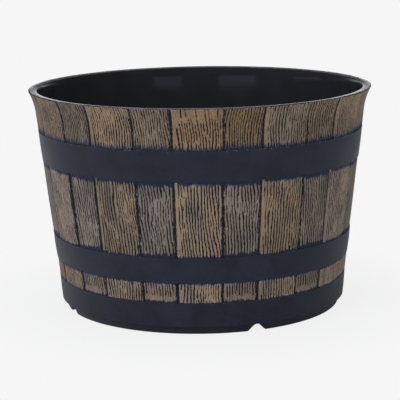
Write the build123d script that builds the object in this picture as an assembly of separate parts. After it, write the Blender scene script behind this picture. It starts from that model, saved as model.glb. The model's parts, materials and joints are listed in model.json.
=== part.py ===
from build123d import *
import math
import os

# Half-barrel planter, moulded in one piece with barrel staves and three hoops
# in relief, with four push-in drain plugs. Lengths are in millimetres and
# angles in degrees. Z is up, the planter stands on z = 0, and the front is -Y.

# Driving dimensions
RIM_DIAMETER = 393.6
HEIGHT = 252.0
WALL = 4.5
FOOT_RADIUS = 162.4  # stave faces carried straight down to the ground
TOP_RADIUS = 191.7  # stave faces carried straight up to the rim
STAVE_PAIRS = 12
WIDE_STAVE = 16.7  # degrees of the wide stave in each pair
NARROW_RECESS = 0.5
SEAM_DEPTH = 1.7

# Lip flare, one arc that runs on from the staves and ends at the rim
FLARE_START = 226.0
RIM_EDGE = 1.0  # bevel on the rim's outer edge
LIP_ROUND = 1.2

# Hoops, as the height of each one's lower and upper edge. Each is slightly crowned:
# its raise over the staves is given at its lower edge, middle and upper edge
BOTTOM_HOOP = (9.0, 36.5)
BOTTOM_HOOP_RAISE = (1.2, 1.0, 0.3)
MIDDLE_HOOP = (59.0, 87.7)
MIDDLE_HOOP_RAISE = (0.5, 0.9, 0.5)
UPPER_HOOP = (171.7, 206.0)
UPPER_HOOP_RAISE = (0.5, 0.7, 0.5)
HOOP_ROUND = 3.0  # lower edge of the bottom hoop

# Seams between staves: the width in degrees in the top, middle and low rows
WIDE_TO_NARROW_SEAM = (0.9, 1.5, 0.45)
NARROW_TO_WIDE_SEAM = (1.2, 0.75, 1.25)

# Base
FOOT_RING_RADIUS = 158.6
FOOT_RING_TOP_RADIUS = 160.2
FOOT_RING_WALL = 4.0
FLOOR_UNDERSIDE = 8.0
FLOOR = 4.5
FLOOR_FILLET = 6.0
NOTCH_COUNT = 4
NOTCH_ANGLE = 22.5  # the first notch, from the front towards +X
NOTCH_WIDTH = 20.8
NOTCH_HEIGHT = 7.6
NOTCH_SLOPE = 45.0  # of the notch's sides, under its round top
SUPPORT_RING_RADIUS = 62.0
SUPPORT_RING_WALL = 3.0
RIB_COUNT = 8
RIB_WALL = 2.0
RIB_CLEARANCE = 2.0  # the ribs stop this far above the ground

# Drains, one behind each notch
DRAIN_RADIUS = 100.0
DRAIN_HOLE = 14.0
DRAIN_SEAT = 30.0
DRAIN_SEAT_DEPTH = 1.5
DRAIN_BOSS = 24.0
DRAIN_BOSS_DROP = 3.0

# Plug
PLUG_FLANGE = 28.0
PLUG_FLANGE_THICKNESS = 2.4
PLUG_RUNNING_GAP = 0.05
PLUG_TIP = 2.5  # height of the stem's end above the ground
PLUG_TIP_DIAMETER = 12.4
PLUG_BORE = 8.0
PLUG_BORE_TOP = 9.5
PLUG_SEAT_GAP = 0.05
TAB_LENGTH = 15.0
TAB_WIDTH = 3.2
TAB_HEIGHT = 8.0

# Derived dimensions
TAPER = (TOP_RADIUS - FOOT_RADIUS) / HEIGHT
TAPER_ANGLE = math.atan(TAPER)
PITCH = 360.0 / STAVE_PAIRS
FLOOR_TOP = FLOOR_UNDERSIDE + FLOOR
SEAT_TOP = FLOOR_TOP - DRAIN_SEAT_DEPTH
CUTTER_REACH = 8.0  # how far a cutter stands out past the surface
OVERLAP = 1.0  # how far joined shapes run into each other

HOOPS = (
    (BOTTOM_HOOP, BOTTOM_HOOP_RAISE),
    (MIDDLE_HOOP, MIDDLE_HOOP_RAISE),
    (UPPER_HOOP, UPPER_HOOP_RAISE),
)

# The three rows where the staves show between the hoops
ROWS = (
    (UPPER_HOOP[1], HEIGHT + CUTTER_REACH),
    (MIDDLE_HOOP[1], UPPER_HOOP[0]),
    (BOTTOM_HOOP[1], MIDDLE_HOOP[0]),
)


def stave_radius(z):
    """Radius of the wide staves' faces at height z, without the lip's flare."""
    return FOOT_RADIUS + TAPER * z


def flare_radius():
    """Radius of the arc that leaves the staves smoothly and ends at the rim's edge."""
    out = RIM_DIAMETER / 2 - stave_radius(FLARE_START)
    up = HEIGHT - RIM_EDGE - FLARE_START
    away = out * math.cos(TAPER_ANGLE) - up * math.sin(TAPER_ANGLE)
    return (out**2 + up**2) / (2 * away)


def flare_point(inset, z):
    """Point on the flare at height z, set in towards the axis by inset."""
    centre_r = stave_radius(FLARE_START) + flare_radius() * math.cos(TAPER_ANGLE)
    centre_z = FLARE_START - flare_radius() * math.sin(TAPER_ANGLE)
    radius = flare_radius() + inset
    rise = z - centre_z
    return centre_r - math.sqrt(radius**2 - rise**2), z


def flare_arc(inset, z_low, z_high):
    """Arc of the flare between two heights, from the lower to the upper one."""
    middle = (z_low + z_high) / 2
    return ThreePointArc(
        flare_point(inset, z_low), flare_point(inset, middle), flare_point(inset, z_high)
    )


def turned(face, angle=360.0, start=0.0):
    """Turn a face drawn in the XZ plane about Z, over angle from start."""
    solid = revolve(Plane.XZ * face, axis=Axis.Z, revolution_arc=angle)
    return Rot(0, 0, start) * solid


def from_front(angle):
    """Rotation that carries +X to an angle counted from the front towards +X."""
    return angle - 90.0


def body_face():
    """Section of the moulding: wall, hoops at full height, lip, floor and foot."""
    foot_inside = FOOT_RING_RADIUS - FOOT_RING_WALL
    here = (FOOT_RING_TOP_RADIUS, BOTTOM_HOOP[0])
    edges = Polyline(
        (0, FLOOR_UNDERSIDE), (foot_inside, FLOOR_UNDERSIDE), (foot_inside, 0), (FOOT_RING_RADIUS, 0), here
    )
    for hoop, raises in HOOPS:
        low, high = hoop
        middle = (low + high) / 2
        crown = [(stave_radius(z) + out, z) for z, out in zip((low, middle, high), raises)]
        if hoop != BOTTOM_HOOP:
            edges += Line(here, (stave_radius(low), low))
            here = (stave_radius(low), low)
        edges += Line(here, crown[0])
        edges += ThreePointArc(*crown)
        here = (stave_radius(high), high)
        edges += Line(crown[2], here)
    edges += Line(here, flare_point(0, FLARE_START)) + flare_arc(0, FLARE_START, HEIGHT - RIM_EDGE)
    rim = flare_point(0, HEIGHT - RIM_EDGE)
    inside_top = (stave_radius(HEIGHT) - WALL, HEIGHT)
    inside_low = (stave_radius(FLOOR_TOP) - WALL, FLOOR_TOP)
    edges += Polyline(rim, (rim[0] - RIM_EDGE, HEIGHT), inside_top, inside_low, (0, FLOOR_TOP))
    edges += Line((0, FLOOR_TOP), (0, FLOOR_UNDERSIDE))
    return make_face(edges)


def row_cutter_face(row, depth):
    """Section that takes depth off a row's staves, from hoop to hoop or out over the rim."""
    low, high = row
    foot = (stave_radius(low) - depth, low)
    if high < HEIGHT:
        outside = stave_radius(high) + CUTTER_REACH
        top = (stave_radius(high) - depth, high)
        return make_face(Polyline(foot, top, (outside, high), (outside, low), close=True))
    bend = flare_point(depth, FLARE_START)
    rim = flare_point(depth, HEIGHT - RIM_EDGE)
    outside = rim[0] + CUTTER_REACH
    edges = Line(foot, bend) + flare_arc(depth, FLARE_START, HEIGHT - RIM_EDGE)
    edges += Polyline(rim, (rim[0], high), (outside, high), (outside, low), foot)
    return make_face(edges)


def stave_cutters():
    """One pair's cutters: the seam on each side of the narrow stave, and its recess."""
    wide_edge = WIDE_STAVE / 2
    narrow_edge = PITCH - wide_edge
    cutters = []
    for row, first, second in zip(ROWS, WIDE_TO_NARROW_SEAM, NARROW_TO_WIDE_SEAM):
        seam = row_cutter_face(row, SEAM_DEPTH)
        recess = row_cutter_face(row, NARROW_RECESS)
        cutters.append(turned(seam, first, from_front(wide_edge - first / 2)))
        cutters.append(turned(seam, second, from_front(narrow_edge - second / 2)))
        cutters.append(turned(recess, narrow_edge - wide_edge, from_front(wide_edge)))
    return cutters


def support_ring():
    """Ring under the middle of the floor, which carries the soil's weight."""
    return turned(
        Pos(SUPPORT_RING_RADIUS, (FLOOR_UNDERSIDE + OVERLAP) / 2)
        * Rectangle(SUPPORT_RING_WALL, FLOOR_UNDERSIDE + OVERLAP)
    )


def ribs():
    """Radial ribs between the support ring and the foot ring, under the floor."""
    length = FOOT_RING_RADIUS - FOOT_RING_WALL - SUPPORT_RING_RADIUS + OVERLAP
    height = FLOOR_UNDERSIDE - RIB_CLEARANCE + OVERLAP
    middle = (SUPPORT_RING_RADIUS + length / 2, 0, RIB_CLEARANCE + height / 2)
    rib = Pos(*middle) * Box(length, RIB_WALL, height)
    return [Rot(0, 0, from_front(i * 360 / RIB_COUNT)) * rib for i in range(RIB_COUNT)]


def notch_cutter():
    """Arch through the foot ring, where drained water runs out: sloped sides and a round top."""
    half = NOTCH_WIDTH / 2
    slope = math.radians(NOTCH_SLOPE)
    side_run = NOTCH_HEIGHT / math.tan(slope)
    round_radius = (half - side_run) / math.tan(slope / 2)
    across = round_radius * math.sin(slope)
    up = NOTCH_HEIGHT - round_radius * (1 - math.cos(slope))
    sides = Polyline((-across, up), (-half, 0), (-half, -OVERLAP), (half, -OVERLAP), (half, 0), (across, up))
    arch = make_face(sides + ThreePointArc((across, up), (0, NOTCH_HEIGHT), (-across, up)))
    bar = extrude(Plane.YZ * arch, FOOT_RING_WALL * 3)
    return Pos(FOOT_RING_RADIUS - FOOT_RING_WALL * 2, 0, 0) * bar


def drain_places():
    """Angle of each drain and of the notch behind it."""
    return [from_front(NOTCH_ANGLE + i * 360 / NOTCH_COUNT) for i in range(NOTCH_COUNT)]


def drain_boss():
    """Collar under the floor that guides the plug's stem."""
    height = DRAIN_BOSS_DROP + OVERLAP
    middle = FLOOR_UNDERSIDE - DRAIN_BOSS_DROP + height / 2
    return Pos(DRAIN_RADIUS, 0, middle) * Cylinder(DRAIN_BOSS / 2, height)


def drain_cutter():
    """Drain hole with the shallow seat for the plug's flange."""
    hole = Pos(DRAIN_RADIUS, 0, FLOOR_UNDERSIDE) * Cylinder(DRAIN_HOLE / 2, FLOOR_UNDERSIDE * 2)
    seat_height = DRAIN_SEAT_DEPTH + OVERLAP
    seat = Pos(DRAIN_RADIUS, 0, SEAT_TOP + seat_height / 2) * Cylinder(DRAIN_SEAT / 2, seat_height)
    return hole + seat


def circles_at(shape, radius, z, reach=0.3):
    """The shape's circles of this radius at this height."""
    circles = shape.edges().filter_by(GeomType.CIRCLE)
    return [
        circle
        for circle in circles
        if abs(circle.radius - radius) < reach and abs(circle.arc_center.Z - z) < reach
    ]


def planter_shell():
    """The one-piece moulding."""
    shell = turned(body_face())
    inside_low = stave_radius(FLOOR_TOP) - WALL
    shell = fillet(circles_at(shell, inside_low, FLOOR_TOP), FLOOR_FILLET)
    inside_top = stave_radius(HEIGHT) - WALL
    shell = fillet(circles_at(shell, inside_top, HEIGHT), LIP_ROUND)
    hoop_foot = stave_radius(BOTTOM_HOOP[0]) + BOTTOM_HOOP_RAISE[0]
    shell = fillet(circles_at(shell, hoop_foot, BOTTOM_HOOP[0]), HOOP_ROUND)
    places = drain_places()
    shell += [support_ring(), *ribs()]
    shell += [Rot(0, 0, a) * drain_boss() for a in places]
    shell -= [Rot(0, 0, a) * notch_cutter() for a in places]
    shell -= [Rot(0, 0, a) * drain_cutter() for a in places]
    pair = stave_cutters()
    shell -= [Rot(0, 0, i * PITCH) * cutter for i in range(STAVE_PAIRS) for cutter in pair]
    return shell


def drain_plug():
    """Push-in plug: a flange on the floor, a stem through the hole, a tab to pull."""
    stem_radius = DRAIN_HOLE / 2 - PLUG_RUNNING_GAP
    tip_radius = PLUG_TIP_DIAMETER / 2
    flange_low = SEAT_TOP + PLUG_SEAT_GAP
    flange_top = flange_low + PLUG_FLANGE_THICKNESS
    taper_start = FLOOR_UNDERSIDE - DRAIN_BOSS_DROP
    section = make_face(
        Polyline(
            (0, PLUG_BORE_TOP),
            (PLUG_BORE / 2, PLUG_BORE_TOP),
            (PLUG_BORE / 2, PLUG_TIP),
            (tip_radius, PLUG_TIP),
            (stem_radius, taper_start),
            (stem_radius, flange_low),
            (PLUG_FLANGE / 2, flange_low),
            (PLUG_FLANGE / 2, flange_top - PLUG_FLANGE_THICKNESS / 3),
            (PLUG_FLANGE / 2 - PLUG_FLANGE_THICKNESS / 3, flange_top),
            (0, flange_top),
            close=True,
        )
    )
    body = turned(section)
    tab_profile = RectangleRounded(TAB_LENGTH, TAB_HEIGHT * 2, TAB_HEIGHT / 2)
    tab = extrude(Plane.XZ * tab_profile, TAB_WIDTH / 2, both=True)
    tab = Pos(0, 0, flange_top) * tab
    tab -= Pos(0, 0, flange_low - TAB_HEIGHT) * Box(TAB_LENGTH * 2, TAB_LENGTH * 2, TAB_HEIGHT * 2)
    return Pos(DRAIN_RADIUS, 0, 0) * (body + tab)


os.makedirs("parts", exist_ok=True)
export_step(planter_shell(), "parts/planter_shell.step")
for number, place in enumerate(drain_places(), start=1):
    export_step(Rot(0, 0, place) * drain_plug(), f"parts/drain_plug_{number}.step")
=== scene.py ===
import json
import math
from typing import NamedTuple

import bmesh
import bpy
import numpy as np
from mathutils import Matrix, Vector

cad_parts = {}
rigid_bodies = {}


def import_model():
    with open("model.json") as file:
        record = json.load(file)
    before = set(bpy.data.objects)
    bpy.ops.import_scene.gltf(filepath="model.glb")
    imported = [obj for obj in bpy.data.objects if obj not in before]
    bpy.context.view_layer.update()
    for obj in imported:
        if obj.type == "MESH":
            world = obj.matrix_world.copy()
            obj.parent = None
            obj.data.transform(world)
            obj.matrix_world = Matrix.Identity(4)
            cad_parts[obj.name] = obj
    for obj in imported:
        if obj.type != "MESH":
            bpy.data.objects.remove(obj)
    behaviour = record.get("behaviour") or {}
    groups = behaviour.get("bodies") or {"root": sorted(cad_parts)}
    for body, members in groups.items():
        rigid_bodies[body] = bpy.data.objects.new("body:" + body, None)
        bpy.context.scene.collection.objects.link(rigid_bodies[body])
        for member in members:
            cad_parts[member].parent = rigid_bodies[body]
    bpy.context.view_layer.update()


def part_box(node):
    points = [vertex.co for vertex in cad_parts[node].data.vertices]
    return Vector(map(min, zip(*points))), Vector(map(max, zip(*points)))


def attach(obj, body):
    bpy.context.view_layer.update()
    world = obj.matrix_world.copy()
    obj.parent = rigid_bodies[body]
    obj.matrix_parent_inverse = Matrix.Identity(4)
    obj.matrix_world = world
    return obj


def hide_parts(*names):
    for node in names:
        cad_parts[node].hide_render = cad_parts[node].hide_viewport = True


# Half-barrel planter: one dark resin moulding with weathered staves and three hoops in
# relief, and four rubber drain plugs. Lengths are millimetres until mesh_object() turns
# them into metres. Angles along the wall are degrees from the front (-Y) towards +X.

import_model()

MM = 0.001
shell_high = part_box("planter_shell")[1]
HEIGHT = shell_high[2] / MM
RIM_RADIUS = shell_high[0] / MM

# Wall
FOOT_RADIUS = 162.4
TOP_RADIUS = 191.7
WALL = 4.5
FLARE_START = 226.0
RIM_EDGE = 1.0
RIM_TILT = 0.45  # the rim's flat top slopes down this much towards the inside
RIM_SLOPE_START = 4.5  # the flat top starts to slope this far in from the rim's edge
RIM_SLOPE_DROP = 0.1
LIP_ROUND = 1.2
# The inner wall's departure from an even wall, outwards, at heights below the rim
INNER_OFFSETS = ((150.0, 0.0), (205.0, 0.2), (243.0, -0.5), (248.0, -0.25), (250.5, 0.1))
STAVE_BULGE = 0.3
CHANNEL_DEPTH = 3.4  # plain ground behind the stave relief
JUNCTION = HEIGHT - 4.4  # height where the rim piece meets the body on the inner wall
INNER_RINGS = (240.0, 243.0, 245.5)  # heights of the inner wall's closer rings, by the lip
INNER_EVEN_TOP = 236.0  # below this they are evenly spaced
LIP_FOOT = 248.6
TUCK = 0.3  # how far the stave pieces run in behind the hoops
BACK_GAP = 0.05  # between the stave pieces' backs and the body's plain ground

# Hoops: lower edge, upper edge, and raise at the lower edge, middle and upper edge
BOTTOM_HOOP = (9.0, 36.5, (1.2, 1.0, 0.3))
MIDDLE_HOOP = (59.0, 87.7, (0.5, 0.9, 0.5))
UPPER_HOOP = (171.7, 206.0, (0.5, 0.7, 0.5))
HOOPS = (BOTTOM_HOOP, MIDDLE_HOOP, UPPER_HOOP)
HOOP_BEVEL = 0.25
HOOP_ROUND = 3.0
# Stray paint on the hoops: how much at their upper and lower edges, and how far it reaches
RIM_SIDE_FLECKS = 0.85
UPPER_FLECKS = 0.5
LOWER_FLECKS = 0.4
FLECKS_DOWN = 3.2
FLECKS_UP = 1.6

# Base
FOOT_RING_RADIUS = 158.6
FOOT_RING_TOP_RADIUS = 160.2
FOOT_RING_WALL = 4.0
FLOOR_UNDERSIDE = 8.0
FLOOR_TOP = 12.5
FLOOR_FILLET = 6.0
NOTCH_ANGLES = (22.5, 112.5, 202.5, 292.5)
NOTCH_WIDTH = 20.8
NOTCH_HEIGHT = 7.6
NOTCH_SLOPE = math.radians(45.0)
SUPPORT_RING_RADIUS = 62.0
SUPPORT_RING_WALL = 3.0
RIB_COUNT = 8
RIB_WALL = 2.0
RIB_CLEARANCE = 2.0
DRAIN_RADIUS = 100.0
DRAIN_HOLE = 14.0
DRAIN_SEAT = 30.0
DRAIN_SEAT_DEPTH = 1.5
DRAIN_BOSS = 24.0
DRAIN_BOSS_DROP = 3.0
DISC_SIDES = 64
RING_BEVEL = 0.3
FOOT_BEVEL = 0.3
FOOT_STEP = 0.5  # the foot ring's upper edge is this far below the bottom hoop's
INSIDE_FACES = 0.9  # faces within the wall's inner side, and up to this far out from it
HIDDEN_FACES = 2.6  # the rim piece's faces this far in from the staves' cone
CAP_MARGIN = 8.0  # the ring round the underside's plain middle is this far out from the support ring
SUNK = 1.0  # how far the underside's ribs and collars run into what carries them

# Staves
STAVE_PAIRS = 12
PITCH = 360.0 / STAVE_PAIRS
WIDE_HALF = 8.35
NARROW_HALF = PITCH / 2 - WIDE_HALF
NARROW_RECESS = 0.5
SEAM_DEPTH = 1.7
CROWN_DROP = 0.45
CROWN_REACH = 3.0
GRAIN_DEPTH = 0.75

# How a stave's own draws, and its row, shift the random fields that it reads
OWN_DRAWS = ("lean", "stretch", "place", "rise", "level", "tone", "shade")
OWN_STRETCH = 0.06
OWN_PLACE = 300.0
OWN_RISE = 150.0
RISE_START = 200.0
OWN_LEVEL = 0.12
OWN_SHADE = 0.22
SEAM_SPREAD = 0.45
PATCH_TURN = 90.0
PATCH_RISE = 120.0
BLANK_RISE = 60.0
WANDER_REACH = 0.8
WAVE_REACH = 0.22

# How brown and how light the paint is on wide and on narrow staves
WIDE_TONE = 0.36
WIDE_SHADE = 0.55
NARROW_SHADE = 0.34
PATCH_SHARE = 0.08

# Mesh steps
FINE_COLUMNS = 1800
PLAIN_COLUMNS = 360
ROW_STEP = 1.65
SHARP_ANGLE = math.radians(50)
BODY_SHARP_ANGLE = math.radians(40)

# Nominal girth on which the grain is laid out
GIRTH_RADIUS = 183.3
GIRTH = 2 * math.pi * GIRTH_RADIUS

TAPER = (TOP_RADIUS - FOOT_RADIUS) / HEIGHT
TAPER_ANGLE = math.atan(TAPER)


def stave_radius(z):
    """Radius of the staves' cone at height z."""
    return FOOT_RADIUS + TAPER * z


def flare_arc():
    """Radius and centre of the arc that leaves the cone smoothly and ends at the rim."""
    out = RIM_RADIUS - stave_radius(FLARE_START)
    up = HEIGHT - RIM_EDGE - FLARE_START
    away = out * math.cos(TAPER_ANGLE) - up * math.sin(TAPER_ANGLE)
    radius = (out**2 + up**2) / (2 * away)
    centre_r = stave_radius(FLARE_START) + radius * math.cos(TAPER_ANGLE)
    centre_z = FLARE_START - radius * math.sin(TAPER_ANGLE)
    return radius, centre_r, centre_z


def face_radius(z):
    """Radius of the wide staves' faces at heights z, with the lip's flare."""
    radius, centre_r, centre_z = flare_arc()
    rise = np.clip(z - centre_z, 0, HEIGHT - RIM_EDGE - centre_z)
    flared = centre_r - np.sqrt(radius**2 - rise**2)
    return np.where(z > FLARE_START, flared, stave_radius(z))


def inner_radius(z):
    """Radius of the inner wall at height z."""
    heights, offsets = zip(*INNER_OFFSETS)
    return stave_radius(z) - WALL + np.interp(z, heights, offsets)


def smooth(low, high, value):
    """Smooth step from 0 at low to 1 at high."""
    t = np.clip((value - low) / (high - low), 0, 1)
    return t * t * (3 - 2 * t)


def quarter_round(radius, turns):
    """Steps along a quarter circle: how far it has bent over, and how far it has come along."""
    for turn in turns:
        yield radius * (1 - math.cos(turn * math.pi / 2)), radius * math.sin(turn * math.pi / 2)


# Random fields round the wall

FIELD_COLUMNS = 2304
FIELD_ROWS = 512
COLUMN_STEP = GIRTH / FIELD_COLUMNS
FIELD_ROW_STEP = 1.0


def field_noise(seed):
    """White noise on the unrolled wall, as its Fourier transform."""
    noise = np.random.default_rng(seed).standard_normal((FIELD_COLUMNS, FIELD_ROWS))
    return np.fft.fft2(noise)


def field_frequencies():
    """Frequencies round the wall and along its height, in cycles per mm."""
    around = np.fft.fftfreq(FIELD_COLUMNS, COLUMN_STEP)[:, None]
    along = np.fft.fftfreq(FIELD_ROWS, FIELD_ROW_STEP)[None, :]
    return around, along


def grain_field(seed, period, spread, length):
    """Complex field whose phase runs across wandering, forking ridges of about this period."""
    around, along = field_frequencies()
    centre = 1 / period
    band = np.exp(-(((around - centre) / (spread * centre)) ** 2) / 2)
    band = band * np.exp(-((along * length) ** 2) * 2)
    field = np.fft.ifft2(field_noise(seed) * band)
    return field / np.abs(field).mean()


def soft_field(seed, width, length):
    """Smooth real field with features of this width round the wall and length along it."""
    around, along = field_frequencies()
    band = np.exp(-((around * width) ** 2) * 2 - ((along * length) ** 2) * 2)
    field = np.fft.ifft2(field_noise(seed) * band).real
    return (field - field.mean()) / field.std()


def sample(field, around, height):
    """The field's value at places in mm round the wall and up it, read between its points."""
    x = around / COLUMN_STEP
    y = height / FIELD_ROW_STEP
    x0 = np.floor(x).astype(int)
    y0 = np.floor(y).astype(int)
    fx = x - x0
    fy = y - y0
    x0 %= FIELD_COLUMNS
    y0 %= FIELD_ROWS
    x1 = (x0 + 1) % FIELD_COLUMNS
    y1 = (y0 + 1) % FIELD_ROWS
    low = field[x0, y0] * (1 - fx) + field[x1, y0] * fx
    high = field[x0, y1] * (1 - fx) + field[x1, y1] * fx
    return low * (1 - fy) + high * fy


# Each field's seed, then the ridges' period, its spread and their length, or the size of its
# features round the wall and up it, in mm
COARSE_GRAIN = grain_field(11, 3.5, 0.12, 46.0)
FINE_GRAIN = grain_field(12, 2.75, 0.13, 34.0)
WAVES = soft_field(19, 5.0, 9.0)
SPLINTER = soft_field(13, 0.9, 1.8)
DASHES = soft_field(22, 1.5, 4.5)
PATCHES = soft_field(14, 16.0, 22.0)
BLANKS = soft_field(21, 9.0, 14.0)
WANDER = soft_field(15, 34.0, 42.0)
EDGE_STREAK = soft_field(16, 2.2, 6.0)
LONG_STREAK = soft_field(20, 2.4, 34.0)
UNEVEN = soft_field(17, 24.0, 60.0)


# Stave rows


class Row(NamedTuple):
    """A row of staves between its lower and upper edge, and how it differs from the others."""

    name: str
    number: int
    low: float
    high: float
    seams: tuple  # widths in degrees, after a wide stave and after a narrow one
    lean: float  # how far its grain leans, in mm round the wall for each mm up it
    lean_spread: float
    fine_share: float  # how much of its grain is the finer one
    broken: float  # how broken up its ridges are
    narrow_tone: float  # how brown its narrow staves are
    tone_spread: float
    tone_lift: float
    seed: int  # seed of the draws that tell its staves apart


TOP_ROW = Row(
    name="top",
    number=0,
    low=UPPER_HOOP[1],
    high=HEIGHT,
    seams=(0.3, 0.5),
    lean=0.035,
    lean_spread=0.08,
    fine_share=0.75,
    broken=0.35,
    narrow_tone=0.3,
    tone_spread=0.28,
    tone_lift=0.22,
    seed=39712,
)
MIDDLE_ROW = Row(
    name="middle",
    number=1,
    low=MIDDLE_HOOP[1],
    high=UPPER_HOOP[0],
    seams=(0.85, 0.45),
    lean=0.045,
    lean_spread=0.04,
    fine_share=0.42,
    broken=0.55,
    narrow_tone=0.05,
    tone_spread=0.16,
    tone_lift=0.0,
    seed=37539,
)
LOW_ROW = Row(
    name="low",
    number=2,
    low=BOTTOM_HOOP[1],
    high=MIDDLE_HOOP[0],
    seams=(0.45, 0.8),
    lean=0.02,
    lean_spread=0.04,
    fine_share=0.42,
    broken=0.55,
    narrow_tone=0.3,
    tone_spread=0.16,
    tone_lift=0.0,
    seed=31212,
)

# What the staves' material reads at each point: the grain's height, how much paint holds,
# the paint's tone from grey to brown and its shade, and how far it has faded in from a hoop
POINT_VALUES = ("grain", "cover", "tone", "shade", "fade")


def stave_layout(angle):
    """Stave number, whether it is a wide one, and degrees from its middle, at each angle."""
    turn = (angle + WIDE_HALF) % 360
    pair = np.floor(turn / PITCH).astype(int)
    within = turn - pair * PITCH
    wide = within < 2 * WIDE_HALF
    number = pair * 2 + np.where(wide, 0, 1)
    across = np.where(wide, within - WIDE_HALF, within - 2 * WIDE_HALF - NARROW_HALF)
    return number, wide, across


class Points:
    """Points on a row of staves: where each lies on its stave and in the random fields."""

    def __init__(self, row, angle, z):
        self.row = row
        self.z = z
        number, self.wide, across = stave_layout(angle)
        draws = np.random.default_rng(row.seed).uniform(-1, 1, (2 * STAVE_PAIRS, len(OWN_DRAWS)))
        self.own = dict(zip(OWN_DRAWS, np.moveaxis(draws[number], -1, 0)))
        half = np.where(self.wide, WIDE_HALF, NARROW_HALF)
        self.share_across = across / half

        # Distances in mm from the edges of the seams on either side
        degree = math.pi / 180 * face_radius(z)
        seam_scale = 1 + SEAM_SPREAD * draws[:, OWN_DRAWS.index("level")]
        left_seam = np.where(self.wide, row.seams[1], row.seams[0]) / 2 * degree
        right_seam = np.where(self.wide, row.seams[0], row.seams[1]) / 2 * degree
        right_neighbour = (number + 1) % (2 * STAVE_PAIRS)
        self.from_left = (across + half) * degree - left_seam * seam_scale[number]
        from_right = (half - across) * degree - right_seam * seam_scale[right_neighbour]
        self.near_left = np.maximum(self.from_left, 0)
        self.near_right = np.maximum(from_right, 0)
        self.near = np.minimum(self.near_left, self.near_right)

        # Place round the wall and rise up it in the grain's fields, each stave at its own
        self.girth = angle / 360 * GIRTH
        self.wander = sample(WANDER, self.girth, z)
        lean = row.lean + row.lean_spread * self.own["lean"]
        place = self.girth * (1 + OWN_STRETCH * self.own["stretch"]) + self.own["place"] * OWN_PLACE
        place = place + lean * (z - row.low) + WANDER_REACH * self.wander
        self.rise = z + OWN_RISE * self.own["rise"] + RISE_START
        self.place = place + WAVE_REACH * sample(WAVES, place, self.rise)
        self.splinter = sample(SPLINTER, self.place, self.rise)
        self.streak = sample(EDGE_STREAK, self.place, self.rise)
        turn, up = PATCH_TURN * row.number, PATCH_RISE * row.number
        self.patch = sample(PATCHES, self.girth + turn, z + up)


def ridges(field, place, rise):
    """1 on a ridge's crest and -1 in a valley, with the field's uneven strength taken out."""
    value = sample(field, place, rise)
    return value.real / np.maximum(np.abs(value), 0.3)


def wood_grain(at):
    """Height of the grain from 0 in a valley to 1 on a ridge."""
    dashes = sample(DASHES, at.place, at.rise)
    fine_share = at.row.fine_share + 0.2 * at.patch + np.where(at.wide, 0.2 * at.share_across, 0.05)
    finer = smooth(0.55, 0.75, fine_share)
    coarse = ridges(COARSE_GRAIN, at.place, at.rise)
    fine = ridges(FINE_GRAIN, at.place, at.rise)
    wave = coarse * (1 - finer) + fine * finer
    wave = wave + at.row.broken * (0.24 * at.splinter + 0.22 * dashes) + PATCH_SHARE * at.patch
    grain = smooth(-0.8, 0.0, wave)
    blank = smooth(1.8, 2.6, sample(BLANKS, at.place, at.rise + BLANK_RISE * at.row.number))
    return grain + (1 - grain) * 0.5 * blank


def smooth_places(at):
    """How little the grain cuts in, from 0 to 1, and the same for a wide stave's left margin."""
    plain = np.zeros_like(at.z)
    if at.row.name == "top":
        top = at.row.high
        crest = smooth(top - 15, top - 5, at.z + 4.0 * at.streak + 4 * at.wander)
        lines = smooth(0.3, 0.9, sample(LONG_STREAK, at.place, at.rise))
        most = np.where(at.wide, 0.5 + 0.4 * np.clip(at.own["tone"], 0, 1), 0.25)
        plain = crest * (1 - 0.85 * lines) * most
    if at.row.name == "low":
        foot = at.row.low
        plain = smooth(foot + 8.5, foot + 6.5, at.z + 1.2 * at.streak) * np.where(at.wide, 0.0, 0.75)
    width = 3.6 + 0.7 * at.splinter + 0.9 * at.wander
    margin = smooth(width + 1.0, width - 1.0, at.from_left)
    margin = margin * np.where(at.wide, 0.85, 0.0)
    return np.maximum(plain, margin), margin


def paint_fade(at, margin):
    """How far the paint has faded in from the hoops, in streaks that follow the grain."""
    low, high = at.row.low, at.row.high
    if at.row.name == "top":
        start = np.where(at.wide, low + 0.2, low + 2.0) + 0.8 * at.streak
        return smooth(-3.5, 8.5, at.z - start)
    if at.row.name == "middle":
        start = np.where(at.wide, low + 0.9, low + 3.6) + 0.7 * at.streak
        end = np.where(at.wide, high - 2.2, high - 4.2) + 0.8 * at.streak
        end = np.where(margin > 0.4, high + 2.0, end)
        return smooth(-1.6, 2.6, at.z - start) * smooth(-1.8, 3.6, end - at.z)
    start = np.where(at.wide, low - 0.3, low + 1.7) + 0.8 * at.streak
    end = high - 0.8 + 0.5 * at.streak
    return smooth(-1.2, 1.8, at.z - start) * smooth(-1.2, 2.0, end - at.z)


def paint_cover(at, faded, ragged):
    """How much paint holds, with less at the seams and down a stave's right-hand edge."""
    reach = np.where(at.wide, 2.8, 6.0) + np.where(at.wide, 0.5, 1.5) * (at.wander + at.streak)
    thin = 1 - smooth(0, 1, at.near_right / np.maximum(reach, 1.5))
    thin = np.where(at.wide, 0.85, 0.75) * thin
    return faded * smooth(-0.1, 0.9, at.near + ragged) * (1 - thin)


def paint_tone(at, plain, to_hoop):
    """The paint's tone, from 0 for grey to 1 for brown, and its shade, from dark to light."""
    tip = 1 - smooth(0, 7, to_hoop)
    tone = np.where(at.wide, WIDE_TONE, at.row.narrow_tone)
    tone = tone + at.row.tone_spread * at.own["tone"] + PATCH_SHARE * at.patch
    tone = tone + 0.15 * plain - 0.25 * tip + at.row.tone_lift
    shade = np.where(at.wide, WIDE_SHADE, NARROW_SHADE)
    shade = shade + OWN_SHADE * at.own["shade"] + PATCH_SHARE * at.patch
    return np.clip(tone, 0, 1), np.clip(shade, 0, 1)


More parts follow.
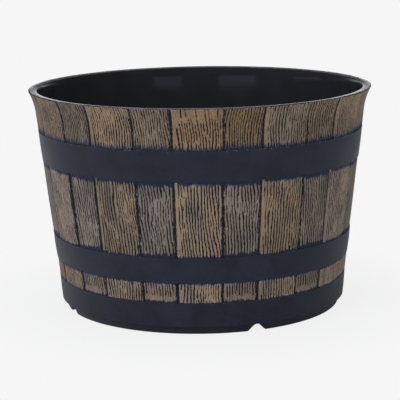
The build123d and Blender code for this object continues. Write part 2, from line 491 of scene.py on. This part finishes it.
def stave_relief(row, angle, z):
    """Relief of a row of staves in mm, with the values named in POINT_VALUES."""
    at = Points(row, angle, z)
    plain, margin = smooth_places(at)
    grain = wood_grain(at)
    grain = grain + (1 - grain) * 0.9 * plain

    # A face is rounded at its edges and a little uneven, and a narrow stave's is set back
    crown = -CROWN_DROP * (1 - smooth(0, CROWN_REACH, at.near)) ** 2
    uneven = 0.12 * sample(UNEVEN, at.girth, z) + OWN_LEVEL * at.own["level"]
    recess = np.where(at.wide, 0.0, -NARROW_RECESS)
    bulge = STAVE_BULGE * np.sin(math.pi * np.clip((z - row.low) / (row.high - row.low), 0, 1))
    face = recess + crown + uneven + bulge * (row.name == "middle")

    # It comes level with the hoops beside them, where the grain is shallow too
    to_hoop = z - row.low if row.name == "top" else np.minimum(z - row.low, row.high - z)
    shallow = 0.35 + 0.65 * smooth(0, 4, to_hoop)
    face = face * smooth(-2, 4, to_hoop) - GRAIN_DEPTH * shallow * (1 - grain)

    ragged = 0.35 * at.splinter * np.where((at.near_left < at.near_right) & at.wide, 0.3, 1.0)
    edge = smooth(-0.3, 1.0, at.near + ragged)
    relief = face * edge - SEAM_DEPTH * (1 - edge)

    faded = paint_fade(at, margin)
    cover = paint_cover(at, faded, ragged)
    tone, shade = paint_tone(at, plain, to_hoop)
    return relief, np.stack((grain, cover, tone, shade, faded), -1)


# Meshes made of rings of points, joined one to the next


class Rings:
    """Collects rings of points in their order along a surface, and joins each to the last."""

    def __init__(self):
        self.points = []
        self.values = []
        self.starts = []
        self.counts = []
        self.total = 0

    def add(self, radius, z, angle, values=None):
        """Add a ring. radius and z may be numbers or arrays over the ring's angles."""
        turn = np.radians(angle)
        radius = np.broadcast_to(radius, angle.shape)
        z = np.broadcast_to(z, angle.shape)
        self.points.append(np.column_stack((radius * np.sin(turn), -radius * np.cos(turn), z)))
        self.values.append(np.zeros((len(angle), len(POINT_VALUES))) if values is None else values)
        self.starts.append(self.total)
        self.counts.append(len(angle))
        self.total += len(angle)

    def faces(self, closed):
        """Faces between neighbouring rings, as arrays with one row per face."""
        last = len(self.starts) if closed else len(self.starts) - 1
        for i in range(last):
            j = (i + 1) % len(self.starts)
            yield strip(self.starts[i], self.counts[i], self.starts[j], self.counts[j])


def strip(start_a, count_a, start_b, count_b):
    """Faces between two rings, where one may have a whole multiple of the other's points."""
    if count_a == count_b:
        i = np.arange(count_a)
        j = (i + 1) % count_a
        return np.column_stack((start_a + i, start_a + j, start_b + j, start_b + i))
    if count_a > count_b:
        times = count_a // count_b
        i = np.arange(count_b)
        fine = [start_a + (i * times + k) % count_a for k in range(times + 1)]
        return np.column_stack((*fine, start_b + (i + 1) % count_b, start_b + i))
    times = count_b // count_a
    i = np.arange(count_a)
    fine = [start_b + (i * times + k) % count_b for k in range(times, -1, -1)]
    return np.column_stack((start_a + i, start_a + (i + 1) % count_a, *fine))


def ring_angles(count):
    """Even angles all the way round, in degrees, with the first at the back."""
    return np.arange(count) * 360.0 / count - 180.0


def mesh_object(name, rings, closed, caps=()):
    """Turn rings into a mesh object in metres, with their values as attributes."""
    mesh = bpy.data.meshes.new(name)
    points = np.concatenate(rings.points) * MM
    groups = list(rings.faces(closed))
    for ring in caps:  # the first ring's cap faces the other way from the last one's
        start = rings.starts[ring]
        loop = np.arange(start, start + rings.counts[ring])
        groups.append((loop[::-1] if ring == 0 else loop)[None, :])
    corners = np.concatenate([g.ravel() for g in groups])
    sizes = np.concatenate([np.full(len(g), g.shape[1]) for g in groups])
    mesh.vertices.add(len(points))
    mesh.vertices.foreach_set("co", points.ravel())
    mesh.loops.add(len(corners))
    mesh.loops.foreach_set("vertex_index", corners.astype(np.int32))
    mesh.polygons.add(len(sizes))
    starts = np.concatenate(([0], np.cumsum(sizes)[:-1]))
    mesh.polygons.foreach_set("loop_start", starts.astype(np.int32))
    mesh.update(calc_edges=True)
    mesh.validate()
    values = np.concatenate(rings.values)
    for index, key in enumerate(POINT_VALUES):
        layer = mesh.attributes.new(key, "FLOAT", "POINT")
        layer.data.foreach_set("value", values[:, index].astype(np.float32))
    obj = bpy.data.objects.new(name, mesh)
    bpy.context.scene.collection.objects.link(obj)
    outward(mesh)
    return obj


def outward(mesh):
    """Turn a closed mesh's faces outwards, and shade it smooth but for its sharp edges."""
    work = bmesh.new()
    work.from_mesh(mesh)
    if work.calc_volume(signed=True) < 0:
        bmesh.ops.reverse_faces(work, faces=work.faces)
    work.to_mesh(mesh)
    work.free()
    mesh.shade_smooth()
    mesh.set_sharp_from_angle(angle=SHARP_ANGLE)


# The stave pieces


def relief_rings(rings, row, heights):
    """Add rings of a row's relief at these heights, from the lowest up."""
    angle = ring_angles(FINE_COLUMNS)
    for z in heights:
        level = np.full(angle.shape, z)
        within = np.clip(level, row.low, min(row.high, HEIGHT - RIM_EDGE))
        relief, values = stave_relief(row, angle, within)
        rings.add(np.minimum(face_radius(level) + relief, RIM_RADIUS), z, angle, values)


def even_heights(low, high):
    """Heights from low to high about ROW_STEP apart."""
    return np.linspace(low, high, max(2, round((high - low) / ROW_STEP) + 1))


def stave_ring(row):
    """A closed ring of staves between two hoops."""
    rings = Rings()
    foot, top = row.low - TUCK, row.high + TUCK
    relief_rings(rings, row, [foot, *even_heights(row.low, row.high), top])
    back = ring_angles(PLAIN_COLUMNS)
    for z in (top, foot):
        rings.add(stave_radius(z) - CHANNEL_DEPTH - BACK_GAP, z, back)
    return mesh_object(f"{row.name}_staves", rings, True)


def rim_piece():
    """The top row of staves with the rim's flat top and the start of the inner wall."""
    rings = Rings()
    low = TOP_ROW.low
    rim_low = HEIGHT - RIM_EDGE
    relief_rings(rings, TOP_ROW, [low - TUCK, *even_heights(low, rim_low)])
    angle = ring_angles(FINE_COLUMNS)
    relief, values = stave_relief(TOP_ROW, angle, np.full(angle.shape, rim_low))
    edge = np.minimum(face_radius(np.array(rim_low)) + relief, RIM_RADIUS)
    for inset, up in quarter_round(RIM_EDGE, (0.35, 0.7, 1.0)):
        worn = values.copy()
        worn[:, POINT_VALUES.index("grain")] *= 1 - up / RIM_EDGE
        rings.add(edge - inset, rim_low + up, angle, worn)
    plain = ring_angles(PLAIN_COLUMNS)
    inner = inner_radius(HEIGHT)
    crest = HEIGHT - RIM_TILT
    rings.add(RIM_RADIUS - RIM_SLOPE_START, HEIGHT - RIM_SLOPE_DROP, plain)
    rings.add(inner + LIP_ROUND, crest, plain)
    for drop, along in quarter_round(LIP_ROUND, (0.25, 0.5, 0.75, 1.0)):
        rings.add(inner - TAPER * drop + LIP_ROUND - along, crest - drop, plain)
    for z in (LIP_FOOT, JUNCTION):
        rings.add(inner_radius(z), z, plain)
    rings.add(stave_radius(JUNCTION) - CHANNEL_DEPTH, JUNCTION, plain)
    rings.add(stave_radius(low) - CHANNEL_DEPTH - BACK_GAP, low - TUCK, plain)
    return mesh_object("rim_and_top_staves", rings, True)


# The body: inside wall, floor, hoops and foot


def hoop_rings(rings, hoop, angle):
    """Add a hoop's upper ledge, crowned face and lower ledge, from the top down."""
    low, high, raises = hoop
    heights = [high - HOOP_BEVEL, high - 1, high - 2, high - 3.5]
    heights += list(np.linspace(high - 6, low + 4, 7)) + [low + 2, low + 1, low + HOOP_BEVEL]
    rings.add(stave_radius(high) - CHANNEL_DEPTH, high, angle)
    most = RIM_SIDE_FLECKS if hoop == UPPER_HOOP else UPPER_FLECKS
    rings.add(stave_radius(high) + raises[2] - HOOP_BEVEL, high, angle, flecked(angle, most))
    for z in heights:
        out = np.interp(z, (low, (low + high) / 2, high), raises)
        from_top = most * (1 - (high - z) / FLECKS_DOWN)
        from_foot = LOWER_FLECKS * (1 - (z - low) / FLECKS_UP)
        fleck = max(0.0, from_top, from_foot)
        rings.add(stave_radius(z) + out, z, angle, flecked(angle, fleck))
    if hoop != BOTTOM_HOOP:
        rings.add(stave_radius(low) + raises[0] - HOOP_BEVEL, low, angle, flecked(angle, LOWER_FLECKS))
        rings.add(stave_radius(low) - CHANNEL_DEPTH, low, angle)


def flecked(angle, amount):
    """Values for a ring of plain resin that carries this much stray paint."""
    values = np.zeros((len(angle), len(POINT_VALUES)))
    values[:, POINT_VALUES.index("cover")] = amount
    return values


def notch_rise(angle):
    """Height of the foot ring's lower edge above the ground at each angle."""
    half = NOTCH_WIDTH / 2
    side_run = NOTCH_HEIGHT / math.tan(NOTCH_SLOPE)
    top_radius = (half - side_run) / math.tan(NOTCH_SLOPE / 2)
    shoulder = top_radius * math.sin(NOTCH_SLOPE)
    rise = np.zeros_like(angle)
    for centre in NOTCH_ANGLES:
        off = (angle - centre + 180) % 360 - 180
        away = np.abs(np.radians(off)) * FOOT_RING_RADIUS
        round_top = NOTCH_HEIGHT - top_radius + np.sqrt(np.maximum(top_radius**2 - away**2, 0))
        side = (half - away) * math.tan(NOTCH_SLOPE)
        rise = np.maximum(rise, np.where(away < shoulder, round_top, side))
    return rise


def shell_body():
    """The rest of the moulding, as one closed mesh with its drain holes cut."""
    rings = Rings()
    plain = ring_angles(PLAIN_COLUMNS)
    fine = ring_angles(FINE_COLUMNS)
    inner_low = stave_radius(FLOOR_TOP) - WALL
    rings.add(SUPPORT_RING_RADIUS, FLOOR_TOP, plain)
    rings.add(inner_low - FLOOR_FILLET - 3, FLOOR_TOP, plain)
    for up, out in quarter_round(FLOOR_FILLET, np.linspace(0, 1, 7)):
        rings.add(inner_low - FLOOR_FILLET + out + TAPER * up, FLOOR_TOP + up, plain)
    even = np.linspace(FLOOR_TOP + FLOOR_FILLET + 3, INNER_EVEN_TOP, 30)
    for z in (*even, *INNER_RINGS, JUNCTION):
        rings.add(inner_radius(z), z, plain)
    rings.add(stave_radius(JUNCTION) - CHANNEL_DEPTH, JUNCTION, plain)
    for hoop in reversed(HOOPS):
        hoop_rings(rings, hoop, plain)
    low = BOTTOM_HOOP[0]
    hoop_foot = stave_radius(low) + BOTTOM_HOOP[2][0]
    for inset, drop in quarter_round(HOOP_ROUND, np.linspace(0, 1, 6)):
        rings.add(hoop_foot - inset, low + HOOP_ROUND - drop, plain)
    rings.add(FOOT_RING_TOP_RADIUS + 0.8, low, plain)
    rings.add(FOOT_RING_TOP_RADIUS, low - FOOT_STEP, fine)
    rise = notch_rise(fine)
    slant = (FOOT_RING_TOP_RADIUS - FOOT_RING_RADIUS) / low
    for bevel, up in ((0.0, FOOT_BEVEL), (FOOT_BEVEL, 0.0)):
        z = np.minimum(rise + up, low - 0.7)
        rings.add(FOOT_RING_RADIUS + slant * z - bevel, z, fine)
    inside = FOOT_RING_RADIUS - FOOT_RING_WALL
    rings.add(inside + FOOT_BEVEL, rise, fine)
    rings.add(inside, np.minimum(rise + FOOT_BEVEL, FLOOR_UNDERSIDE - 0.05), fine)
    rings.add(inside, FLOOR_UNDERSIDE, plain)
    rings.add(SUPPORT_RING_RADIUS + CAP_MARGIN, FLOOR_UNDERSIDE, plain)
    last = len(rings.starts) - 1
    body = mesh_object("shell_body", rings, False, caps=(0, last))
    finish_underside(body)
    return body


def turned(angle, radius, z):
    """Place on the underside, at an angle from the front, a radius and a height."""
    turn = Matrix.Rotation(math.radians(angle - 90), 4, "Z")  # the front is at -Y, not at +X
    return turn @ Matrix.Translation((radius * MM, 0, z * MM))


def drain_discs(diameter, low, high):
    """A disc of this diameter at each drain, between two heights."""
    work = bmesh.new()
    radius = diameter / 2 * MM
    size = {"radius1": radius, "radius2": radius, "depth": (high - low) * MM}
    for angle in NOTCH_ANGLES:
        place = turned(angle, DRAIN_RADIUS, (low + high) / 2)
        bmesh.ops.create_cone(work, cap_ends=True, segments=DISC_SIDES, matrix=place, **size)
    return work


def underside_ribs():
    """The ribs between the support ring and the foot ring."""
    work = bmesh.new()
    length = FOOT_RING_RADIUS - FOOT_RING_WALL - SUPPORT_RING_RADIUS + SUNK
    tall = FLOOR_UNDERSIDE - RIB_CLEARANCE + SUNK
    scale = Matrix.Diagonal((length * MM, RIB_WALL * MM, tall * MM, 1))
    for i in range(RIB_COUNT):
        place = turned(i * 360 / RIB_COUNT, SUPPORT_RING_RADIUS + length / 2, RIB_CLEARANCE + tall / 2)
        bmesh.ops.create_cube(work, size=1, matrix=place @ scale)
    return work


def support_ring():
    """The ring under the middle of the floor."""
    ring = Rings()
    plain = ring_angles(PLAIN_COLUMNS)
    outside = SUPPORT_RING_RADIUS + SUPPORT_RING_WALL / 2
    hollow = SUPPORT_RING_RADIUS - SUPPORT_RING_WALL / 2
    top = FLOOR_UNDERSIDE + SUNK
    ring.add(outside, top, plain)
    ring.add(outside, RING_BEVEL, plain)
    ring.add(outside - RING_BEVEL, 0, plain)
    ring.add(hollow + RING_BEVEL, 0, plain)
    ring.add(hollow, RING_BEVEL, plain)
    ring.add(hollow, top, plain)
    support = mesh_object("support_ring", ring, True)
    work = bmesh.new()
    work.from_mesh(support.data)
    bpy.data.objects.remove(support)
    return work


def combine(body, work, operation):
    """Join a closed mesh to the body, or cut it out."""
    mesh = bpy.data.meshes.new("tool")
    work.to_mesh(mesh)
    work.free()
    tool = bpy.data.objects.new("tool", mesh)
    bpy.context.scene.collection.objects.link(tool)
    step = body.modifiers.new("step", "BOOLEAN")
    step.operation = operation
    step.solver = "MANIFOLD"
    step.object = tool
    depsgraph = bpy.context.evaluated_depsgraph_get()
    body.data = bpy.data.meshes.new_from_object(body.evaluated_get(depsgraph))
    body.modifiers.clear()
    bpy.data.objects.remove(tool)


def finish_underside(body):
    """Add the support ring, ribs and drain collars, and cut the drain holes and seats."""
    combine(body, support_ring(), "UNION")
    combine(body, underside_ribs(), "UNION")
    collar_foot = FLOOR_UNDERSIDE - DRAIN_BOSS_DROP
    combine(body, drain_discs(DRAIN_BOSS, collar_foot, FLOOR_UNDERSIDE + SUNK), "UNION")
    combine(body, drain_discs(DRAIN_HOLE, -2.0, FLOOR_TOP + 4), "DIFFERENCE")
    combine(body, drain_discs(DRAIN_SEAT, FLOOR_TOP - DRAIN_SEAT_DEPTH, FLOOR_TOP + 2), "DIFFERENCE")
    body.data.shade_smooth()
    body.data.set_sharp_from_angle(angle=BODY_SHARP_ANGLE)


# Materials


class Graph:
    """Short ways to add nodes to a node tree."""

    def __init__(self, tree):
        self.tree = tree

    def node(self, kind, **settings):
        made = self.tree.nodes.new(kind)
        for key, value in settings.items():
            setattr(made, key, value)
        return made

    def link(self, source, target):
        self.tree.links.new(source, target)

    def put(self, socket, value):
        """Set a socket to a number or colour, or link it to another."""
        if isinstance(value, bpy.types.NodeSocket):
            self.link(value, socket)
        else:
            socket.default_value = value

    def value(self, name):
        """A value stored on the mesh's points."""
        return self.node("ShaderNodeAttribute", attribute_name=name).outputs["Fac"]

    def math(self, operation, a, b=0.0):
        made = self.node("ShaderNodeMath", operation=operation)
        self.put(made.inputs[0], a)
        self.put(made.inputs[1], b)
        return made.outputs[0]

    def spread(self, value, amount):
        """A noise value moved to lie evenly round 0, times an amount."""
        return self.math("MULTIPLY", self.math("SUBTRACT", value, 0.5), amount)

    def ramp(self, value, low, high, to_low=0.0, to_high=1.0):
        made = self.node("ShaderNodeMapRange", interpolation_type="SMOOTHSTEP")
        self.put(made.inputs["Value"], value)
        self.put(made.inputs["From Min"], low)
        self.put(made.inputs["From Max"], high)
        self.put(made.inputs["To Min"], to_low)
        self.put(made.inputs["To Max"], to_high)
        return made.outputs["Result"]

    def mix(self, share, a, b, blend="MIX"):
        made = self.node("ShaderNodeMix", data_type="RGBA", blend_type=blend)
        self.put(made.inputs["Factor"], share)
        self.put(made.inputs["A"], a)
        self.put(made.inputs["B"], b)
        return made.outputs["Result"]

    def noise(self, scale, detail=2.0, stretch=(1, 1, 1), roughness=0.5):
        places = self.node("ShaderNodeTexCoord")
        squeeze = self.node("ShaderNodeVectorMath", operation="MULTIPLY")
        self.link(places.outputs["Object"], squeeze.inputs[0])
        squeeze.inputs[1].default_value = stretch
        made = self.node("ShaderNodeTexNoise")
        self.link(squeeze.outputs[0], made.inputs["Vector"])
        made.inputs["Scale"].default_value = scale
        made.inputs["Detail"].default_value = detail
        made.inputs["Roughness"].default_value = roughness
        return made.outputs["Fac"]


class Finish(Graph):
    """A material with one Principled shader."""

    def __init__(self, name, specular):
        self.material = bpy.data.materials.new(name)
        self.material.use_nodes = True
        super().__init__(self.material.node_tree)
        self.shader = self.tree.nodes["Principled BSDF"]
        self.shader.inputs["Specular IOR Level"].default_value = specular

    def set(self, colour, roughness, height, distance):
        """Link the colour, roughness and bump height, whose full rise is distance in mm."""
        self.put(self.shader.inputs["Base Color"], colour)
        self.put(self.shader.inputs["Roughness"], roughness)
        bump = self.node("ShaderNodeBump")
        bump.inputs["Distance"].default_value = distance * MM
        self.link(height, bump.inputs["Height"])
        self.link(bump.outputs["Normal"], self.shader.inputs["Normal"])
        return self.material


def srgb(red, green, blue):
    """A colour given as it shows on screen, 0 to 255, in linear values."""

    def linear(value):
        value /= 255
        return value / 12.92 if value <= 0.04045 else ((value + 0.055) / 1.055) ** 2.4

    return (linear(red), linear(green), linear(blue), 1.0)


# Colours as they show on screen, of bare resin, of the dark wash in the grain's hollows and
# of the paint on its ridges
RESIN = srgb(30, 33, 43)
RESIN_SEAM = srgb(25, 27, 32)
RESIN_LIGHT = srgb(39, 42, 55)
RESIN_INSIDE = srgb(40, 41, 41)
RESIN_INSIDE_LIGHT = srgb(43, 45, 48)
WASH_BROWN = srgb(40, 24, 11)
WASH_GREY = srgb(33, 26, 20)
PAINT_BROWN = srgb(141, 117, 89)
PAINT_GREY = srgb(131, 124, 118)
STRAY_PAINT = srgb(90, 92, 104)
PAINT_THIN = srgb(84, 88, 102)
TINT_PINK = (1.08, 0.99, 1.0, 1.0)
TINT_YELLOW = (1.0, 1.04, 0.9, 1.0)
# Painted highlight: the rim's bare dark resin is given these pale greys to stand in for the sheen of
# light along its top
RIM_DARK = srgb(72, 72, 80)
RIM_PAINTED_SHEEN = srgb(112, 110, 115)
RUBBER = srgb(24, 24, 26)
RUBBER_LIGHT = srgb(33, 33, 35)


def weathered_staves():
    """Dark resin with brown and grey paint brushed over the ridges of its wood grain."""
    g = Finish("weathered_staves", 0.08)
    grain = g.value("grain")
    cover = g.value("cover")
    fade = g.value("fade")
    speckle = g.noise(900, 3, (1, 1, 0.55), 0.7)
    mottle = g.noise(480, 2, (1, 1, 1), 0.6)
    streaks = g.noise(420, 3, (1, 1, 0.05), 0.6)
    blotch = g.noise(38, 3, (1, 1, 0.6))
    tone = g.math("ADD", g.value("tone"), g.spread(blotch, 0.3))
    paint = g.mix(tone, PAINT_GREY, PAINT_BROWN)
    shade = g.math("ADD", g.value("shade"), g.spread(streaks, 0.8))
    shade = g.math("ADD", shade, g.spread(mottle, 0.5))
    paint = g.mix(1.0, paint, g.ramp(shade, 0, 1, 0.66, 1.26), "MULTIPLY")
    tint = g.mix(g.ramp(g.noise(320, 2, (1, 1, 0.3)), 0.35, 0.65), TINT_PINK, TINT_YELLOW)
    paint = g.mix(1.0, paint, tint, "MULTIPLY")
    paint = g.mix(g.ramp(fade, 0.3, 0.95), PAINT_THIN, paint)
    wash = g.mix(tone, WASH_GREY, WASH_BROWN)
    ground = g.mix(g.ramp(cover, 0.2, 0.9), RESIN_SEAM, wash)
    ground = g.mix(g.ramp(fade, 0.1, 0.75), RESIN_LIGHT, ground)
    worn = g.math("ADD", g.spread(speckle, 1.3), g.spread(mottle, 0.3))
    brushed = g.ramp(g.math("ADD", grain, worn), 0.38, 0.78)
    held = g.ramp(g.math("ADD", cover, g.spread(speckle, 1.2)), 0.05, 0.6)
    brushed = g.math("MULTIPLY", brushed, held)
    colour = g.mix(brushed, ground, paint)
    roughness = g.ramp(brushed, 0, 1, 0.45, 0.65)
    height = g.math("ADD", speckle, streaks)
    return g.set(colour, roughness, height, 0.25)


def hoop_resin():
    """Dark resin of the hoops and foot, with flecks of stray paint along the hoops' edges."""
    g = Finish("hoop_resin", 0.18)
    cloud = g.noise(26, 4, (1, 1, 1), 0.6)
    fine = g.noise(700, 2)
    fleck = g.noise(620, 2, (1, 1, 0.5), 0.6)
    colour = g.mix(g.ramp(cloud, 0.35, 0.7), RESIN, RESIN_LIGHT)
    cover = g.value("cover")
    flecked = g.ramp(g.math("ADD", fleck, g.math("MULTIPLY", cover, 0.2)), 0.68, 0.86)
    flecked = g.math("MULTIPLY", flecked, g.ramp(cover, 0, 0.3))
    colour = g.mix(flecked, colour, STRAY_PAINT)
    roughness = g.ramp(cloud, 0.3, 0.7, 0.46, 0.55)
    height = g.math("ADD", g.math("MULTIPLY", cloud, 2.0), fine)
    return g.set(colour, roughness, height, 0.25)


def rim_resin():
    """The rim's bare top edge, rubbed smooth, with a pale grey colour that stands in for the sheen of
    light along it (painted highlight).
    """
    g = Finish("rim_resin", 0.8)
    cloud = g.noise(60, 4, (1, 1, 1), 0.6)
    colour = g.mix(g.ramp(cloud, 0.35, 0.7), RIM_DARK, RIM_PAINTED_SHEEN)
    return g.set(colour, g.ramp(cloud, 0.3, 0.7, 0.06, 0.1), g.noise(500, 2), 0.004)


def inside_resin():
    """Smooth black resin of the inner wall and floor."""
    g = Finish("inside_resin", 0.2)
    cloud = g.noise(26, 4, (1, 1, 1), 0.6)
    colour = g.mix(g.ramp(cloud, 0.35, 0.7), RESIN_INSIDE, RESIN_INSIDE_LIGHT)
    return g.set(colour, g.ramp(cloud, 0.3, 0.7, 0.1, 0.13), g.noise(300, 2), 0.01)


def plug_rubber():
    """Black moulded rubber."""
    g = Finish("plug_rubber", 0.4)
    cloud = g.noise(90, 3)
    colour = g.mix(g.ramp(cloud, 0.3, 0.7), RUBBER, RUBBER_LIGHT)
    return g.set(colour, g.ramp(cloud, 0.3, 0.7, 0.55, 0.7), g.noise(1500, 2), 0.08)


# Build the planter

STAVES = weathered_staves()
HOOP_RESIN = hoop_resin()
RIM_RESIN = rim_resin()
INSIDE_RESIN = inside_resin()
PLUG_RUBBER = plug_rubber()


def dress(piece, materials, choose=None):
    """Give a piece its materials, and each face the one that choose gives by number."""
    piece.data.materials.clear()
    for material in materials:
        piece.data.materials.append(material)
    if choose is None:
        return
    count = len(piece.data.polygons)
    centres = np.empty(count * 3)
    piece.data.polygons.foreach_get("center", centres)
    x, y, z = centres.reshape(-1, 3).T / MM
    index = choose(np.hypot(x, y), z)
    piece.data.polygons.foreach_set("material_index", index.astype(np.int32))


def is_inside(radius, z):
    """Whether a face is on the inner wall or the floor."""
    return (radius < stave_radius(z) - WALL + INSIDE_FACES) & (z > FLOOR_UNDERSIDE + 1)


def rim_faces(radius, z):
    """Number of the rim piece's material: 0 for staves, 1 for the bare rim, 2 for the inside."""
    bare = (z > HEIGHT - RIM_TILT - 0.3) & (radius < RIM_RADIUS - RIM_EDGE)
    hidden = radius < stave_radius(z) - HIDDEN_FACES
    return np.where(is_inside(radius, z) & ~bare, 2, np.where(bare | hidden, 1, 0))


def body_faces(radius, z):
    """Number of the body's material: 0 for the hoops and foot, 1 for the inside."""
    return np.where(is_inside(radius, z), 1, 0)


rim = rim_piece()
dress(rim, (STAVES, RIM_RESIN, INSIDE_RESIN), rim_faces)
middle_staves = stave_ring(MIDDLE_ROW)
dress(middle_staves, (STAVES,))
low_staves = stave_ring(LOW_ROW)
dress(low_staves, (STAVES,))
body = shell_body()
dress(body, (HOOP_RESIN, INSIDE_RESIN), body_faces)

for piece in (rim, middle_staves, low_staves, body):
    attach(piece, "shell")
    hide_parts("planter_shell")

for number in range(1, 5):
    plug = bpy.data.objects[f"drain_plug_{number}"]
    for slot in plug.material_slots:
        slot.material = PLUG_RUBBER


# Studio

BACKDROP = srgb(246, 246, 246)
FLOOR_SIZE = 40.0
FLOOR_DROP = 0.0002  # keeps the floor clear of the foot
SHADOW_RANGE = (0.16, 0.36)  # the floor's shadow gives way to its plain colour between these
REFLECTED_RANGE = (-0.45, 0.25)  # the floor's reflection dims between these, from left to right
REFLECTED_LEAST = 0.15
ROOM_STRENGTH = 0.42
ROOM_LEFT = (1.15, 1.18, 1.4, 1)
ROOM_RIGHT = (0.7, 0.74, 0.8, 1)
REFLECTED_ROOM = (0.1, 0.1, 0.12, 1)
REFLECTED_LEFT = (0.3, 0.31, 0.36, 1)
LAMP_AIM = (0, 0, 0.2)


def seen_rays(g):
    """1 for rays that come from the camera or through gloss or glass."""
    path = g.node("ShaderNodeLightPath")
    bounced = g.math("MAXIMUM", path.outputs["Is Glossy Ray"], path.outputs["Is Transmission Ray"])
    return path.outputs["Is Camera Ray"], bounced


def studio_floor():
    """A plain pale floor that keeps a soft shadow near the object."""
    bpy.ops.mesh.primitive_plane_add(size=FLOOR_SIZE, location=(0, 0, -FLOOR_DROP))
    floor = bpy.context.object
    floor.name = "floor"
    material = bpy.data.materials.new("floor")
    material.use_nodes = True
    material.node_tree.nodes.clear()
    g = Graph(material.node_tree)
    diffuse = g.node("ShaderNodeBsdfDiffuse")
    diffuse.inputs["Color"].default_value = BACKDROP
    glow = g.node("ShaderNodeEmission")
    glow.inputs["Color"].default_value = BACKDROP
    camera, bounced = seen_rays(g)
    position = g.node("ShaderNodeNewGeometry").outputs["Position"]
    split = g.node("ShaderNodeSeparateXYZ")
    g.link(position, split.inputs[0])
    dimmed = g.ramp(split.outputs["X"], *REFLECTED_RANGE, 1.0, REFLECTED_LEAST)
    bounced = g.math("MULTIPLY", bounced, dimmed)
    away = g.node("ShaderNodeVectorMath", operation="LENGTH")
    g.link(position, away.inputs[0])
    plain = g.ramp(away.outputs["Value"], *SHADOW_RANGE, 0.9, 1.0)
    share = g.math("MULTIPLY", g.math("MAXIMUM", camera, bounced), plain)
    mix = g.node("ShaderNodeMixShader")
    g.link(share, mix.inputs[0])
    g.link(diffuse.outputs[0], mix.inputs[1])
    g.link(glow.outputs[0], mix.inputs[2])
    g.link(mix.outputs[0], g.node("ShaderNodeOutputMaterial").inputs["Surface"])
    floor.data.materials.append(material)


def studio_world():
    """A pale backdrop, low down behind the object for gloss, and a dimmer even room."""
    world = bpy.data.worlds.new("studio")
    bpy.context.scene.world = world
    world.use_nodes = True
    g = Graph(world.node_tree)
    back = g.tree.nodes["Background"]
    back.inputs["Color"].default_value = BACKDROP
    split = g.node("ShaderNodeSeparateXYZ")
    g.link(g.node("ShaderNodeTexCoord").outputs["Generated"], split.inputs[0])
    x, y, z = split.outputs
    room = g.node("ShaderNodeBackground")
    room.inputs["Strength"].default_value = ROOM_STRENGTH
    camera, bounced = seen_rays(g)
    even = g.mix(g.ramp(x, -1, 1), ROOM_LEFT, ROOM_RIGHT)
    dim = g.mix(g.ramp(x, -0.3, -1), REFLECTED_ROOM, REFLECTED_LEFT)
    g.link(g.mix(bounced, even, dim), room.inputs["Color"])
    behind = g.math("MULTIPLY", g.ramp(y, 0.5, 0.97), g.ramp(z, 0.18, 0.05))
    share = g.math("MAXIMUM", camera, g.math("MULTIPLY", bounced, behind))
    mix = g.node("ShaderNodeMixShader")
    g.link(share, mix.inputs[0])
    g.link(room.outputs[0], mix.inputs[1])
    g.link(back.outputs[0], mix.inputs[2])
    g.link(mix.outputs[0], g.tree.nodes["World Output"].inputs["Surface"])


def lamp(name, azimuth, elevation, distance, size, brightness, colour, reflected=False):
    """A soft rectangular lamp that faces the object, with its azimuth from the front towards +X.

    It either lights the surfaces or, where reflected, shows in their gloss and nowhere else.
    """
    data = bpy.data.lights.new(name, "AREA")
    data.shape = "RECTANGLE"
    data.size, data.size_y = size
    data.energy = brightness * math.pi * size[0] * size[1]
    data.color = colour
    obj = bpy.data.objects.new(name, data)
    bpy.context.scene.collection.objects.link(obj)
    turn, rise = math.radians(azimuth), math.radians(elevation)
    away = Vector((math.sin(turn) * math.cos(rise), -math.cos(turn) * math.cos(rise), math.sin(rise)))
    obj.location = Vector(LAMP_AIM) + away * distance
    obj.rotation_euler = away.to_track_quat("Z", "Y").to_euler()
    obj.visible_camera = False
    obj.visible_glossy = reflected
    obj.visible_diffuse = not reflected
    obj.visible_transmission = not reflected


# Camera, as fitted to the photograph's outline

CAMERA_DISTANCE = 1.8617
CAMERA_HEIGHT = 0.4854
CAMERA_AZIMUTH = math.radians(0.85)
CAMERA_PITCH = math.radians(11.19)
CAMERA_YAW = math.radians(-0.05)
CAMERA_ROLL = math.radians(-0.93)
FOCAL_PIXELS = 1623.3
FRAME_PIXELS = 400
SENSOR = 36.0


def studio_camera():
    """The photograph's camera: its place, its turn and the length of its lens."""
    data = bpy.data.cameras.new("camera")
    data.sensor_width = SENSOR
    data.lens = FOCAL_PIXELS / FRAME_PIXELS * SENSOR
    data.clip_end = 100
    camera = bpy.data.objects.new("camera", data)
    bpy.context.scene.collection.objects.link(camera)
    place = (
        CAMERA_DISTANCE * math.sin(CAMERA_AZIMUTH),
        -CAMERA_DISTANCE * math.cos(CAMERA_AZIMUTH),
        CAMERA_HEIGHT,
    )
    turn = (
        Matrix.Rotation(CAMERA_AZIMUTH - CAMERA_YAW, 4, "Z")
        @ Matrix.Rotation(math.pi / 2 - CAMERA_PITCH, 4, "X")
        @ Matrix.Rotation(CAMERA_ROLL, 4, "Z")
    )
    camera.matrix_world = Matrix.Translation(place) @ turn
    bpy.context.scene.camera = camera


studio_floor()
studio_world()
lamp("key", -38, 38, 2.6, (1.2, 0.9), 6.4, (0.93, 0.95, 1.0))
lamp("fill", 45, 28, 2.4, (1.0, 1.0), 2.45, (0.97, 0.99, 0.96))
lamp("low_left", -48, 3, 2.4, (1.2, 0.6), 1.25, (0.92, 0.96, 1.1))
lamp("overhead", 180, 80, 2.0, (1.6, 1.6), 1.6, (1, 1, 1))
lamp("left_panel", -29, 2, 2.0, (1.05, 0.3), 1.5, (0.74, 0.79, 1.05), reflected=True)
lamp("right_panel", 26, 2, 2.0, (0.78, 0.3), 1.3, (0.7, 0.76, 1.1), reflected=True)
lamp("side_panel", -90, 1, 2.0, (0.98, 0.34), 0.85, (0.75, 0.8, 1.0), reflected=True)
studio_camera()
bpy.context.scene.view_settings.view_transform = "Standard"
